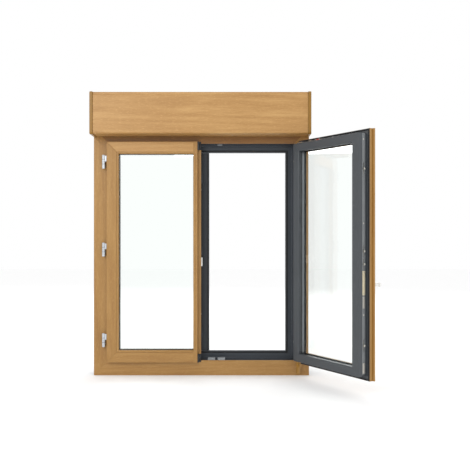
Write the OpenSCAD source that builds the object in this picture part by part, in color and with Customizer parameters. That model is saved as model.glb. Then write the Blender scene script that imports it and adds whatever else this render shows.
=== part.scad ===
// Two-leaf inward-opening casement window with a roller-shutter box.
// +X is right seen from the room, -Y points into the room, +Z is up.
// The origin is the middle of the frame's bottom face.

/* [Frame] */
// Width of the outer frame
frame_w = 1000; // [860:10:1300]
// Height of the outer frame, without the shutter box
frame_h = 1146; // [900:2:1600]
// Depth of the outer frame
frame_depth = 70; // [70:1:82]
// Width of a frame member's face in the room
frame_face = 70; // [66:1:84]
// How far the outer lip reaches past the inner edge
lip_reach = 36; // [30:1:40]
// Thickness of the outer lip
lip_t = 23; // [18:1:25]
// Radius of the wall fixing holes
fixing_r = 4; // [3:0.5:5]

/* [Leaves] */
// How far a leaf's flange laps over the frame
overlap = 8; // [6:1:10]
// Thickness of the flange
flange_t = 16; // [14:1:18]
// Thickness of the gasket behind the flange
gasket_t = 4; // [3:0.5:5]
// Gap between the frame and a leaf's body
chamber = 12; // [11:1:13]
// Depth of a leaf's body behind the room face of the frame
body_depth = 43; // [40:1:46]
// Width of a leaf member's face
leaf_face = 47; // [44:1:60]
// Width of a glazing bead
bead_w = 10; // [8:1:14]
// Thickness of one glass pane
pane_t = 4; // [3:0.5:6]
// Thickness of the sealed glass unit
unit_t = 24; // [20:1:28]
// Angle of the right leaf at rest
open_angle = 124; // [0:1:130]

/* [Hinges] */
// Distance from a leaf's edge to the hinge axis
hinge_gap = 13.5; // [12:0.5:16]
// Distance from the room face of the frame to the hinge axes
hinge_out = 17; // [16:0.5:20]
// Radius of a hinge barrel
barrel_r = 7; // [6:0.5:8]
// Height of a hinge
barrel_h = 62; // [50:1:80]
// Radius of a hinge pin
pin_r = 4; // [3:0.5:4.5]

/* [Hardware] */
// Height of the handle above the bottom of the frame
handle_z = 448; // [350:1:700]
// Length of the handle's lever
lever_len = 112; // [90:1:125]
// Travel of the locking rods for a quarter turn of the handle
rod_travel = 18; // [14:1:20]
// Travel of the bolts of the left leaf
bolt_travel = 16; // [10:1:18]

/* [Shutter] */
// Height of the box's front
box_h = 188; // [180:1:230]
// How far the box's front stands out from the frame
box_out = 95; // [85:1:130]
// How far the box reaches behind the frame
box_back = 50; // [50:1:60]
// Wall of the box's panels
panel_t = 12; // [8:1:13]
// Thickness of the box's end caps
cap_t = 14; // [10:1:18]
// Radius of the rolled-up curtain
roll_r = 61.7; // [55:0.1:62]
// Thickness of a shutter slat
slat_t = 9; // [7:0.5:9]
// Width of a shutter guide
guide_w = 55; // [45:1:60]

/* [Hidden] */
// curves are cut into enough sides to count as round
$fn = 64;
run = 0.05;                       // running fit, on the radius
gap = 0.3;                        // clearance between pieces that must not touch
face_y = -frame_depth / 2;        // room face of the frame
back_y = frame_depth / 2;         // outdoor face of the frame
lip_y = back_y - lip_t;           // room side of the outer lip
leaf_y = face_y - flange_t - gasket_t; // room face of a leaf
flange_y = leaf_y + flange_t;     // back of the flange
leaf_back = face_y + body_depth;  // outdoor face of a leaf
inner_x = frame_w / 2 - frame_face;
inner_lo = frame_face;
inner_hi = frame_h - frame_face;
leaf_x = inner_x + overlap;       // outer edge of a leaf's flange
leaf_lo = inner_lo - overlap;
leaf_hi = inner_hi + overlap;
reach = overlap + chamber;        // flange edge to body
sight = leaf_face + bead_w;       // flange edge to visible glass
bead_y = flange_y - 2;            // back of the bead's face
glass_y = bead_y + 3;             // room face of the glass unit
glass_back = glass_y + unit_t;
leg_y = glass_back + 3;           // room side of the outdoor glazing leg
glass_u = sight - 16;             // flange edge to glass edge
seat_u = glass_u - 3;             // flange edge to the glazing rebate
hinge_x = leaf_x + hinge_gap;
axis_y = face_y - hinge_out;

// the meeting stiles
meet_lip = -17.7;                 // right edge of the left leaf's room face
meet_face = -1.6;                 // right edge of the recessed strip
meet_web = -5;                    // lock face of the left leaf
left_sight = -37;                 // left leaf's visible glass ends here
left_bead = left_sight + bead_w;  // and its bead here
left_glass = left_sight + 10;
wing_x = 34;                      // half the width of the outdoor wing
lock_flange = -9.6;               // left edge of the right leaf's flange
lock_x = meet_web + chamber;      // lock face of the right leaf
tool_y = -22;                     // middle of the hardware groove
plate_w = 16;                     // width of the faceplate
plate_t = 2.5;
rod_w = 8;
rod_t = 2.5;
rod_x = lock_x + plate_t + gap;
spindle_x = lock_x + 9.5;
spindle_r = 3.6;
cam_r = 4.5;
cam_z = [leaf_lo + 144, handle_z + 87, handle_z + 139, leaf_hi - 163]; // cams on the upright rod
cam_x = 69.5;                     // cam on the bottom rod
stay_z = leaf_hi - reach + 2.2;   // underside of the stay arm, clear of the leaf as it tilts
stay_t = 3;
stay_len = 300;                   // hinge axis to the stay arm's slider
tilt_z = leaf_lo - 14;            // height of the tilt axis, below the leaf
hinge_z = [leaf_lo + 104, (leaf_lo + leaf_hi) / 2 + 11.5, leaf_hi - 94];
fix_z = [leaf_lo + 89.5, frame_h - 149.5];
screw_z = [leaf_lo + 58, handle_z - 118, leaf_hi - 384, leaf_hi - 44]; // faceplate screws
keeper_l = 34;                    // length of a keeper on the sill
bolt_x = -14.5;
bolt_y = -10;
bolt_r = 4;
bolt_len = 220;

// the shutter box
box_lo = frame_h - 36;            // underside of the box's front
box_hi = box_lo + box_h;
front_y = face_y - box_out;
rear_y = back_y + box_back;
cap_x = frame_w / 2 - cap_t;      // inside of the end caps
slat_y = back_y + 17.5;           // middle of the curtain's plane
roll_y = slat_y - slat_t / 2 - gap - roll_r;
roll_z = frame_h + 4 + roll_r;
axle_r = 32;
curtain_x = frame_w / 2 - 22;
end_z = frame_h - 41;             // underside of the end slat at rest
end_h = 45;
motor_r = 22;
motor_len = 250;

// ---------- shapes used in many places ----------

// a box given by two opposite corners
module block(a, b) { translate(a) cube([b[0] - a[0], b[1] - a[1], b[2] - a[2]]); }

// a section of [u, y] points, u inward from one side of the rectangle r = [x0, z0, x1, z1]
module run_side(side, r, section) {
    w = r[2] - r[0];
    h = r[3] - r[1];
    if (side == "left") translate([r[0], 0, r[1]]) linear_extrude(h) polygon(section);
    if (side == "right") translate([r[2], 0, r[1]]) mirror([1, 0, 0]) linear_extrude(h) polygon(section);
    if (side == "bottom") translate([r[0], 0, r[1]]) mirror([1, 0, -1]) linear_extrude(w) polygon(section);
    if (side == "top") translate([r[0], 0, r[3]]) mirror([0, 0, 1]) mirror([1, 0, -1])
        linear_extrude(w) polygon(section);
}

// the share of the rectangle that one mitred side takes, w deep
module mitre(side, r, w) {
    wide = r[2] - r[0];
    high = r[3] - r[1];
    long = side == "left" || side == "right" ? high : wide;
    outline = [[0, 0], [0, long], [w, long - w], [w, w]];
    turned = [for (p = outline)
        side == "left" ? [r[0] + p[0], r[1] + p[1]] :
        side == "right" ? [r[2] - p[0], r[1] + p[1]] :
        side == "bottom" ? [r[0] + p[1], r[1] + p[0]] : [r[0] + p[1], r[3] - p[0]]];
    translate([0, 200, 0]) rotate([90, 0, 0]) linear_extrude(400) polygon(turned);
}

// one mitred member
module member(side, r, section, w) {
    intersection() {
        run_side(side, r, section);
        mitre(side, r, w);
    }
}

// a closed ring of four mitred members, as one solid
module ring(r, section, w) {
    for (side = ["left", "right", "bottom", "top"]) member(side, r, section, w);
}

// a round bar from a along one axis
module bar_x(a, r, len) { translate(a) rotate([0, 90, 0]) cylinder(r = r, h = len); }
module bar_y(a, r, len) { translate(a) rotate([-90, 0, 0]) cylinder(r = r, h = len); }
module bar_z(a, r, len) { translate(a) cylinder(r = r, h = len); }

// puts a closed right leaf at its rest angle
module opened() {
    translate([hinge_x, axis_y, 0]) rotate([0, 0, open_angle]) translate([-hinge_x, -axis_y, 0]) children();
}

oak = "#c2935c";
grey = "#3a3f45";
steel = "#b9b6b0";
black = "#17191c";

// ---------- outer frame ----------

frame_box = [-frame_w / 2, 0, frame_w / 2, frame_h];
lip_u = frame_face + lip_reach;
seal_u = frame_face + chamber + 14;
frame_section = [
    [0, face_y], [frame_face, face_y], [frame_face, face_y + 34], [frame_face + 4, face_y + 34],
    [frame_face + 4, face_y + 38], [frame_face + 9, face_y + 42], [frame_face + 9, lip_y], [lip_u, lip_y],
    [lip_u, back_y - 4], [lip_u - 4, back_y], [0, back_y]
];

module frame_member(side) {
    color(oak) difference() {
        member(side, frame_box, frame_section, lip_u);
        for (z = fix_z) bar_x([-frame_w / 2 - 1, -14, z], fixing_r, frame_w + 2);
        bar_z([bolt_x, bolt_y, inner_lo - bolt_travel - 4], bolt_r + 1, inner_hi - inner_lo + 2 * bolt_travel + 8);
        for (x = [-300, 300]) block([x - 12, back_y - 8, 20], [x + 12, back_y + 1, 26]);
    }
}

module rebate_seals() {
    color(black) ring(frame_box, [
        [seal_u, lip_y], [seal_u, lip_y - 2], [seal_u + 2, leaf_back + gap], [seal_u + 5, leaf_back + gap],
        [seal_u + 7, lip_y - 2], [seal_u + 7, lip_y]], lip_u);
}

module drain_caps() {
    color(grey) for (x = [-300, 300]) {
        block([x - 20, back_y, 15], [x + 20, back_y + 2, 31]);
        block([x - 16, back_y + 2, 18], [x + 16, back_y + 5, 29]);
    }
}

// ---------- shutter box ----------

module box_front() {
    color(oak) translate([-cap_x, 0, 0]) mirror([1, 0, -1]) linear_extrude(2 * cap_x) polygon([
        [box_lo + 4, front_y], [box_lo, front_y + 4], [box_lo, front_y + panel_t], [box_hi, front_y + panel_t],
        [box_hi, front_y + 5], [box_hi - 3, front_y + 2], [box_hi - 12, front_y + 2], [box_hi - 14, front_y]]);
}

module box_top() {
    color(oak) block([-cap_x, front_y + panel_t, box_hi - panel_t], [cap_x, rear_y - panel_t, box_hi]);
}

module box_rear() {
    color(grey) block([-cap_x, rear_y - panel_t, frame_h], [cap_x, rear_y, box_hi]);
}

module box_hatch() {
    color(oak) difference() {
        block([-cap_x, front_y + panel_t, box_lo], [cap_x, face_y, box_lo + panel_t]);
        block([-cap_x + 20, front_y + panel_t + 8, box_lo - 1], [cap_x - 20, front_y + panel_t + 11, box_lo + 2]);
    }
}

// the end cap's side view, as [y, z]
cap_side = [
    [front_y - 3, box_lo + 3], [front_y + 2, box_lo - 3], [face_y, box_lo - 3], [face_y, frame_h], [rear_y + 2, frame_h],
    [rear_y + 2, box_hi + 2], [front_y + 2, box_hi + 2], [front_y - 3, box_hi - 3]];

module box_end(side) {
    x = side == "left" ? -frame_w / 2 : cap_x;
    color("#9b6e30") translate([x, 0, 0]) rotate([90, 0, 90]) linear_extrude(cap_t) polygon(cap_side);
}

module box_insulation() {
    color("#e8e8e4") {
        block([-cap_x + 6, front_y + panel_t, box_lo + panel_t], [cap_x - 6, front_y + panel_t + 30, box_hi - panel_t]);
        block([-cap_x + 6, front_y + panel_t + 30, box_hi - panel_t - 9], [cap_x - 6, rear_y - panel_t, box_hi - panel_t]);
    }
}

// a plate on each end cap; the left one carries a stub pin
module roller_bearings() {
    color(steel) {
        for (x = [-cap_x, cap_x - 4]) block([x, roll_y - 40, roll_z - 40], [x + 4, roll_y + 40, roll_z + 40]);
        bar_x([-cap_x + 4, roll_y, roll_z], 6, 25);
    }
}

// the motor lies inside the axle and is screwed to the right plate
module tube_motor() {
    color("#d8d8d6") {
        bar_x([cap_x - 6 - motor_len, roll_y, roll_z], motor_r, motor_len);
        block([cap_x - 6, roll_y - 25, roll_z - 25], [cap_x - 4, roll_y + 25, roll_z + 25]);
    }
}

slot_half = slat_t / 2 + 2;
guide_section = [
    [0, back_y], [guide_w, back_y], [guide_w, slat_y - slot_half], [13, slat_y - slot_half],
    [13, slat_y + slot_half], [guide_w, slat_y + slot_half], [guide_w, back_y + 35], [0, back_y + 35]];

module guide(side) {
    color(grey) run_side(side, [-frame_w / 2, 0, frame_w / 2, frame_h], guide_section);
}

module guide_brushes() {
    color(black) for (side = [-1, 1]) for (s = [-1, 1]) {
        x = side * (frame_w / 2 - guide_w + 4);
        y0 = slat_y + s * slot_half;
        y1 = slat_y + s * (slat_t / 2 + gap);
        block([x - 3, min(y0, y1), 0], [x + 3, max(y0, y1), frame_h]);
    }
}

// ---------- hardware on the frame ----------

// lower half of a hinge: barrel, pin and foot on the frame
module left_frame_hinges() {
    color(steel) for (z = hinge_z) {
        bar_z([-hinge_x, axis_y, z - barrel_h / 2], barrel_r, barrel_h / 2 - gap);
        bar_z([-hinge_x, axis_y, z - gap - 1], pin_r, barrel_h / 2 - 2);
        block([-hinge_x - 5, axis_y, z - barrel_h / 2 + 2], [-hinge_x + 5, face_y, z - 3]);
    }
}

module frame_strikers() {
    color(steel) {
        // keepers of the bottom rod, for the tilt and the locked position; the leaf swings in between them
        for (x = [cam_x - 6 - keeper_l, cam_x + 6]) {
            block([x, tool_y - 11, inner_lo], [x + keeper_l, tool_y + 9, inner_lo + 2]);
            for (y = [-11, 6]) block([x, tool_y + y, inner_lo], [x + keeper_l, tool_y + y + 3, inner_lo + 10.5]);
        }
        // bushes of the left leaf's bolts and a stop on the head
        for (z = [inner_lo, inner_hi - 2]) difference() {
            block([bolt_x - 9, bolt_y - 9, z], [bolt_x + 9, bolt_y + 9, z + 2]);
            bar_z([bolt_x, bolt_y, z - 1], bolt_r + 0.6, 4);
        }
        block([74, tool_y + 2, inner_hi - 6], [97, tool_y + 10, inner_hi]);
    }
}

// upper bearing of the right leaf: a bracket with a pin for the stay
module stay_bearing() {
    color(steel) {
        bar_z([hinge_x, axis_y, stay_z + stay_t + gap], barrel_r, 18);
        bar_z([hinge_x, axis_y, stay_z - 10], pin_r, 14);
        block([hinge_x - 4, axis_y, stay_z + stay_t + 2], [hinge_x + 4, face_y, stay_z + stay_t + 16]);
    }
}

// lower bearing of the right leaf: a foot on the frame, a barrel and an upright pin
module pivot_bearing() {
    color(steel) {
        block([hinge_x - 13, face_y - 3, tilt_z - 44], [hinge_x + 13, face_y, tilt_z - 10]);
        block([hinge_x - 5, axis_y, tilt_z - 32], [hinge_x + 5, face_y, tilt_z - 16]);
        bar_z([hinge_x, axis_y, tilt_z - 34], barrel_r, 20 - gap);
        bar_z([hinge_x, axis_y, tilt_z - 20], pin_r, 19);
    }
}

// ---------- leaves ----------

left_box = [-leaf_x, leaf_lo, leaf_x, leaf_hi];
// a leaf member's section: flange, body with hardware groove, glazing rebate
leaf_section = [
    [0, leaf_y + 1.5], [1.5, leaf_y], [leaf_face, leaf_y], [leaf_face, bead_y], [seat_u, bead_y], [seat_u, leg_y],
    [sight - 1, leg_y], [sight - 1, leaf_back - 4], [sight - 5, leaf_back], [reach, leaf_back],
    [reach, tool_y + plate_w / 2 + gap], [reach + 3, tool_y + plate_w / 2 + gap],
    [reach + 3, tool_y - plate_w / 2 - gap], [reach, tool_y - plate_w / 2 - gap], [reach, flange_y], [0, flange_y]];
bead_section = [
    [leaf_face, leaf_y + 2], [sight - 3, leaf_y + 2], [sight, leaf_y + 6], [sight, bead_y], [sight - 5, bead_y],
    [sight - 5, glass_y], [seat_u + 1, glass_y], [seat_u + 1, bead_y], [leaf_face, bead_y]];
inner_gasket = [[sight - 5, bead_y], [sight, bead_y], [sight, glass_y], [sight - 5, glass_y]];
outer_gasket = [[sight - 8, glass_back], [sight - 1, glass_back], [sight - 1, leg_y], [sight - 8, leg_y]];
lap_gasket = [
    [1.5, flange_y], [overlap - 1, flange_y], [overlap - 1, flange_y + gasket_t - gap - 1], [overlap - 3, face_y - gap],
    [2.5, face_y - gap], [1.5, flange_y + gasket_t - 2]];

// the left leaf's meeting stile is narrow, with a recessed strip that the other leaf laps
left_end = left_sight;
module left_meeting_stile() {
    color(oak) difference() {
        union() {
            translate([0, 0, leaf_lo]) linear_extrude(leaf_hi - leaf_lo) polygon([
                [left_bead, leaf_y], [meet_lip, leaf_y], [meet_lip, flange_y], [left_glass + 3, flange_y],
                [left_glass + 3, bead_y], [left_bead, bead_y]]);
            translate([0, 0, leaf_lo + reach]) linear_extrude(leaf_hi - leaf_lo - 2 * reach) polygon([
                [left_glass + 3, flange_y], [meet_lip, flange_y], [meet_lip, face_y], [meet_face, face_y],
                [meet_face, face_y + 3], [meet_web, face_y + 3], [meet_web, leaf_back], [left_sight + 1, leaf_back],
                [left_sight + 1, leg_y], [left_glass + 3, leg_y]]);
            // full section beside the rails
            for (top = [0, 1]) translate([0, 0, top * (leaf_lo + leaf_hi)]) mirror([0, 0, top]) {
                block([left_end, leaf_y, leaf_lo], [meet_lip, bead_y, leaf_lo + sight]);
                block([left_end, bead_y, leaf_lo], [meet_lip, flange_y, leaf_lo + seat_u]);
                block([left_end, flange_y, leaf_lo + reach], [meet_lip, face_y, leaf_lo + seat_u]);
                block([left_end, face_y, leaf_lo + reach], [meet_web, leaf_back, leaf_lo + seat_u]);
                block([left_end, leg_y, leaf_lo + reach], [meet_web, leaf_back, leaf_lo + sight]);
            }
        }
        // bolt channels and the slots of their thumb knobs
        bar_z([bolt_x, bolt_y, leaf_lo], bolt_r + run, reach + bolt_len + bolt_travel + 2);
        bar_z([bolt_x, bolt_y, leaf_hi - reach - bolt_len - bolt_travel - 2], bolt_r + run, bolt_len + 30 + bolt_travel);
        for (z = knob_z) block([bolt_x, bolt_y - 3.3, z - 5 - bolt_travel], [0, bolt_y + 3.3, z + 5 + bolt_travel]);
    }
}
knob_z = [leaf_lo + reach + bolt_len - 20, leaf_hi - reach - bolt_len + 20];

// members that end square on the meeting stile
module left_rail(side) {
    color(oak) intersection() {
        member(side, left_box, leaf_section, sight);
        block([-leaf_x - 1, -100, 0], [left_end, 100, frame_h]);
    }
}

module left_beads() {
    color(oak) {
        for (side = ["left", "top", "bottom"]) intersection() {
            member(side, left_box, bead_section, sight);
            block([-leaf_x, -100, 0], [left_end, 100, frame_h]);
        }
        // bead on the meeting stile, cut square between the other two
        translate([0, 0, leaf_lo + sight]) linear_extrude(leaf_hi - leaf_lo - 2 * sight) polygon([
            [left_bead, leaf_y + 2], [left_bead, bead_y], [left_glass + 2, bead_y], [left_glass + 2, glass_y],
            [left_sight + 5, glass_y], [left_sight + 5, bead_y], [left_sight, bead_y], [left_sight, leaf_y + 6],
            [left_sight + 3, leaf_y + 2]]);
    }
}

// two panes of a sealed unit, from x0 to x1
module panes(x0, x1) {
    color("#cfe3e8", 0.35) for (y = [glass_y, glass_back - pane_t])
        block([x0, y, leaf_lo + glass_u], [x1, y + pane_t, leaf_hi - glass_u]);
}

module spacer(x0, x1) {
    color("#8a8d90") ring([x0, leaf_lo + glass_u, x1, leaf_hi - glass_u],
        [[3, glass_y + pane_t], [9.5, glass_y + pane_t], [9.5, glass_back - pane_t], [3, glass_back - pane_t]], 9.5);
}

module left_panes() { panes(-leaf_x + glass_u, left_glass); }
module left_spacer() { spacer(-leaf_x + glass_u, left_glass); }

module left_gaskets() {
    color(black) {
        for (side = ["left", "top", "bottom"]) intersection() {
            union() {
                member(side, left_box, inner_gasket, sight);
                member(side, left_box, outer_gasket, sight);
                member(side, left_box, lap_gasket, sight);
            }
            block([-leaf_x, -100, 0], [left_end, 100, frame_h]);
        }
        // on the meeting stile: both glass gaskets
        block([left_sight, bead_y, leaf_lo + sight], [left_sight + 5, glass_y, leaf_hi - sight]);
        block([left_sight + 1, glass_back, leaf_lo + sight], [left_sight + 8, leg_y, leaf_hi - sight]);
        // the seal behind the outdoor wing's free side
        block([wing_x - 10, leaf_back + gap, wing_lo], [wing_x - 3, lip_y, wing_hi]);
    }
}

// outdoor wing of the false mullion
wing_lo = inner_lo + lip_reach + 2;
wing_hi = inner_hi - lip_reach - 2;
module mullion_wing() {
    color(grey) translate([0, 0, wing_lo]) linear_extrude(wing_hi - wing_lo) polygon([
        [-wing_x + 4, leaf_back], [meet_web, leaf_back], [meet_web, lip_y], [wing_x, lip_y], [wing_x, back_y - 4],
        [wing_x - 4, back_y], [-wing_x + 4, back_y], [-wing_x, back_y - 4], [-wing_x, lip_y]]);
}

// moulded caps at the top and bottom of the recessed strip
module mullion_caps() {
    color(black) for (z = [[leaf_lo, 38], [leaf_hi - 38, 38]]) {
        block([meet_lip, leaf_y + 2, z[0]], [lock_flange - 1, face_y, z[0] + z[1]]);
        block([lock_flange - 1, face_y - 0.6, z[0]], [meet_face, face_y, z[0] + z[1]]);
    }
}

// upper half of each hinge, bored to turn on the pin, with a tongue into the flange's edge
module left_leaf_hinges() {
    color(steel) for (z = hinge_z) difference() {
        union() {
            bar_z([-hinge_x, axis_y, z], barrel_r, barrel_h / 2);
            block([-hinge_x, axis_y - 3, z + 2], [-leaf_x, axis_y + 6, z + barrel_h / 2 - 3]);
        }
        bar_z([-hinge_x, axis_y, z - 1], pin_r + run, barrel_h / 2 - 1);
    }
}

// keepers on the lock face of the left leaf, one for each cam of the upright rod
module mullion_keepers() {
    color("#e4e4e0") for (z = cam_z) {
        block([meet_web, tool_y - 9, z - 28], [meet_web + 2, tool_y + 12, z + 12]);
        block([meet_web + 2, tool_y + cam_r + 1, z - 28], [lock_x - 3, tool_y + cam_r + 4, z + 12]);
        block([meet_web + 2, tool_y - cam_r - 4, z - 28], [lock_x - 3, tool_y - cam_r - 1, z - 12]);
    }
}

// a sliding bolt with its thumb knob, up = 1 or down = -1
module slide_bolt(up) {
    z = up > 0 ? leaf_hi - reach - 1 - bolt_len : leaf_lo + reach + 1;
    knob = up > 0 ? knob_z[1] : knob_z[0];
    color(steel) {
        bar_z([bolt_x, bolt_y, z], bolt_r, bolt_len);
        block([bolt_x, bolt_y - 3, knob - 4], [meet_web + 3, bolt_y + 3, knob + 4]);
    }
}

// ---------- right leaf, drawn closed and then opened ----------

right_box = [lock_flange, leaf_lo, leaf_x, leaf_hi];
lock_u = lock_x - lock_flange;
lock_section = concat(
    [[0, leaf_y + 1.5], [1.5, leaf_y], [leaf_face, leaf_y], [leaf_face, bead_y], [seat_u, bead_y], [seat_u, leg_y],
    [sight - 1, leg_y], [sight - 1, leaf_back - 4], [sight - 5, leaf_back], [lock_u, leaf_back]],
    [[lock_u, tool_y + plate_w / 2 + run], [lock_u + plate_t, tool_y + plate_w / 2 + run],
    [lock_u + plate_t, tool_y + rod_w / 2 + gap], [lock_u + plate_t + rod_t + 2 * gap, tool_y + rod_w / 2 + gap],
    [lock_u + plate_t + rod_t + 2 * gap, tool_y - rod_w / 2 - gap], [lock_u + plate_t, tool_y - rod_w / 2 - gap],
    [lock_u + plate_t, tool_y - plate_w / 2 - run], [lock_u, tool_y - plate_w / 2 - run]],
    [[lock_u, flange_y], [0, flange_y]]);
gear_x = rod_x + rod_t + gap;     // gearbox starts behind the rod
gear_depth = 12;
gear_lo = handle_z - 48;
gear_hi = handle_z + 54;

module right_member(side) {
    color(oak) opened() difference() {
        member(side, right_box, side == "left" ? lock_section : leaf_section, sight);
        // pocket of the gearbox and bore of the spindle
        block([gear_x, tool_y - 6 - gap, gear_lo - gap], [gear_x + gear_depth + gap, tool_y + 6 + gap, gear_hi + gap]);
        bar_y([spindle_x, leaf_y - 1, handle_z], 6, tool_y - leaf_y);
        // the lock stile's body ends level with the rails
        for (z = [leaf_lo - 1, leaf_hi - reach]) block([lock_x - 1, flange_y, z], [lock_x + 20, leaf_back + 1, z + reach + 1]);
        // channel of the bottom rod, above its cams
        block([lock_x, tool_y - rod_w / 2 - gap, leaf_lo + reach], [200, tool_y + rod_w / 2 + gap, leaf_lo + reach + 6]);
    }
}

module right_beads() {
    color(oak) opened() for (side = ["left", "right", "top", "bottom"]) member(side, right_box, bead_section, sight);
}

module right_panes() { opened() panes(lock_flange + glass_u, leaf_x - glass_u); }
module right_spacer() { opened() spacer(lock_flange + glass_u, leaf_x - glass_u); }

module right_gaskets() {
    color(black) opened() {
        ring(right_box, inner_gasket, sight);
        ring(right_box, outer_gasket, sight);
        difference() {
            ring(right_box, lap_gasket, sight);
            // the lap is thinner on the left leaf and open where the stay and the pivot pass
            block([lock_flange - 1, face_y - 1.2, leaf_lo - 1], [meet_face + 3, face_y, leaf_hi + 1]);
            block([leaf_x - 40, flange_y - 1, stay_z - 14], [leaf_x + 1, face_y, leaf_hi - 3]);
            block([leaf_x - reach, flange_y - 1, leaf_lo], [leaf_x + 1, face_y, leaf_lo + 45]);
        }
    }
}

// strip on the room face that covers the meeting of the leaves
strip_x = [meet_lip + gap, 40];
strip_t = 10;
module cover_strip() {
    color(oak) opened() difference() {
        translate([0, 0, leaf_lo]) linear_extrude(leaf_hi - leaf_lo) polygon([
            [strip_x[0], leaf_y], [strip_x[0], leaf_y - strip_t + 3], [strip_x[0] + 3, leaf_y - strip_t],
            [strip_x[1] - 6, leaf_y - strip_t], [strip_x[1] - 3, leaf_y - strip_t + 4], [strip_x[1] - 3, leaf_y]]);
        bar_y([spindle_x, leaf_y - strip_t - 1, handle_z], 6, strip_t + 2);
    }
}

module lock_faceplate() {
    color(steel) opened() difference() {
        block([lock_x, tool_y - plate_w / 2, leaf_lo + reach + 8], [lock_x + plate_t, tool_y + plate_w / 2, leaf_hi - reach]);
        for (z = cam_z) block([lock_x - 1, tool_y - 2.8, z - rod_travel - 5], [lock_x + plate_t + 1, tool_y + 2.8, z + rod_travel + 5]);
        for (z = screw_z) bar_x([lock_x - 1, tool_y, z], 2, 5);
    }
}

module gearbox() {
    color(steel) opened() difference() {
        block([gear_x, tool_y - 6, gear_lo], [gear_x + gear_depth, tool_y + 6, gear_hi]);
        bar_y([spindle_x, tool_y - 7, handle_z], spindle_r + run, 14);
    }
}

// upright rod with mushroom cams, behind the faceplate
module lock_rod() {
    color(steel) opened() {
        block([rod_x, tool_y - rod_w / 2, cam_z[0] - 40], [rod_x + rod_t, tool_y + rod_w / 2, cam_z[3] + 40]);
        for (z = cam_z) {
            bar_x([lock_x - 4, tool_y, z], 2.5, rod_x - lock_x + 4);
            bar_x([lock_x - 5, tool_y, z], cam_r, 3.5);
        }
    }
}

// the bottom rod holds the leaf's foot in when it tilts
module bottom_rod() {
    z = leaf_lo + reach + 3;
    color(steel) opened() {
        block([cam_x - 40, tool_y - rod_w / 2, z], [cam_x + 80, tool_y + rod_w / 2, z + rod_t]);
        bar_z([cam_x, tool_y, z - 9], cam_r - 1, 9);
    }
}

module handle_rose() {
    color("#e9e9e7") opened() difference() {
        union() {
            block([spindle_x - 14, leaf_y - strip_t - 8, handle_z - 28], [spindle_x + 14, leaf_y - strip_t, handle_z + 28]);
            bar_y([spindle_x, leaf_y - strip_t - 14, handle_z], 12, 8);
        }
        bar_y([spindle_x, leaf_y - strip_t - 15, handle_z], 8 + run, 9);
        bar_y([spindle_x, leaf_y - strip_t - 7, handle_z], spindle_r + run, 8);
    }
}

// lever, neck and spindle in one
neck_y = leaf_y - strip_t - 48;
module handle_lever() {
    color("#e9e9e7") opened() {
        bar_y([spindle_x, neck_y, handle_z], 8, 41);
        bar_y([spindle_x, neck_y, handle_z], spindle_r, tool_y + 5 - neck_y);
        translate([spindle_x - 4, neck_y - 4, handle_z]) rotate([0, 90, 0]) cylinder(r = 9, h = lever_len);
        translate([spindle_x - 4, neck_y - 4, handle_z]) sphere(r = 9);
        translate([spindle_x - 4 + lever_len, neck_y - 4, handle_z]) sphere(r = 9);
    }
}

// strap on the right leaf's lower corner: two cheeks bored for the tilt pins, under a barrel
module pivot_strap() {
    z = tilt_z + 14;
    color(steel) opened() difference() {
        union() {
            for (x = [hinge_x - cheek_out, hinge_x + cheek_in])
                block([x, axis_y - 6, tilt_z - 6], [x + cheek_out - cheek_in, axis_y + 6, z]);
            block([hinge_x - cheek_out, axis_y - 6, tilt_z + 9], [hinge_x + cheek_out, axis_y + 6, z]);
            bar_z([hinge_x, axis_y, z - 1], barrel_r, 41);
            block([leaf_x, axis_y - 3, z], [hinge_x, axis_y + 6, z + 36]);
            block([leaf_x - reach + gap, flange_y, leaf_lo + 2], [leaf_x + 1.5, flange_y + 2, leaf_lo + 26]);
            block([leaf_x, axis_y - 3, leaf_lo + 2], [leaf_x + 1.5, flange_y + 2, leaf_lo + 26]);
        }
        bar_x([hinge_x - cheek_out - 1, axis_y, tilt_z], 3 + run, 2 * cheek_out + 2);
    }
}
cheek_in = 8;                     // hinge axis to the inside of a cheek
cheek_out = 12.5;                 // and to its outside

// the knuckle turns on the bearing's pin and carries the leaf on two level pins
module pivot_knuckle() {
    color(steel) opened() difference() {
        union() {
            block([hinge_x - cheek_in + gap, axis_y - 6, tilt_z - 6], [hinge_x + cheek_in - gap, axis_y + 6, tilt_z + 6]);
            bar_x([hinge_x - cheek_out, axis_y, tilt_z], 3, 2 * cheek_out);
            bar_z([hinge_x, axis_y, tilt_z - 14], barrel_r, 9);
        }
        bar_z([hinge_x, axis_y, tilt_z - 15], pin_r + run, 17);
    }
}

// sleeve that turns on the upper pin
module stay_carrier() {
    color(steel) opened() difference() {
        bar_z([hinge_x, axis_y, stay_z - 8], barrel_r, 8 - gap);
        bar_z([hinge_x, axis_y, stay_z - 9], pin_r + run, 10);
    }
}

// flat arm in the top chamber; its cranked end passes behind the flange
module stay_arm() {
    color(steel) opened() difference() {
        union() {
            block([hinge_x - stay_len - 10, tool_y - 6, stay_z], [inner_x - 2, tool_y + 6, stay_z + stay_t]);
            block([inner_x - 12, flange_y + 0.6, stay_z], [inner_x - 2, tool_y, stay_z + stay_t]);
            block([inner_x - 12, flange_y + 0.6, stay_z], [leaf_x + 3, face_y - 0.6, stay_z + stay_t]);
            block([leaf_x + gap, axis_y, stay_z], [leaf_x + 3, face_y - 0.6, stay_z + stay_t]);
            bar_z([hinge_x, axis_y, stay_z], barrel_r, stay_t);
            block([leaf_x + gap, axis_y - 4, stay_z], [hinge_x, axis_y + 4, stay_z + stay_t]);
        }
        bar_z([hinge_x, axis_y, stay_z - 1], pin_r + run, stay_t + 2);
    }
}

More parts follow.
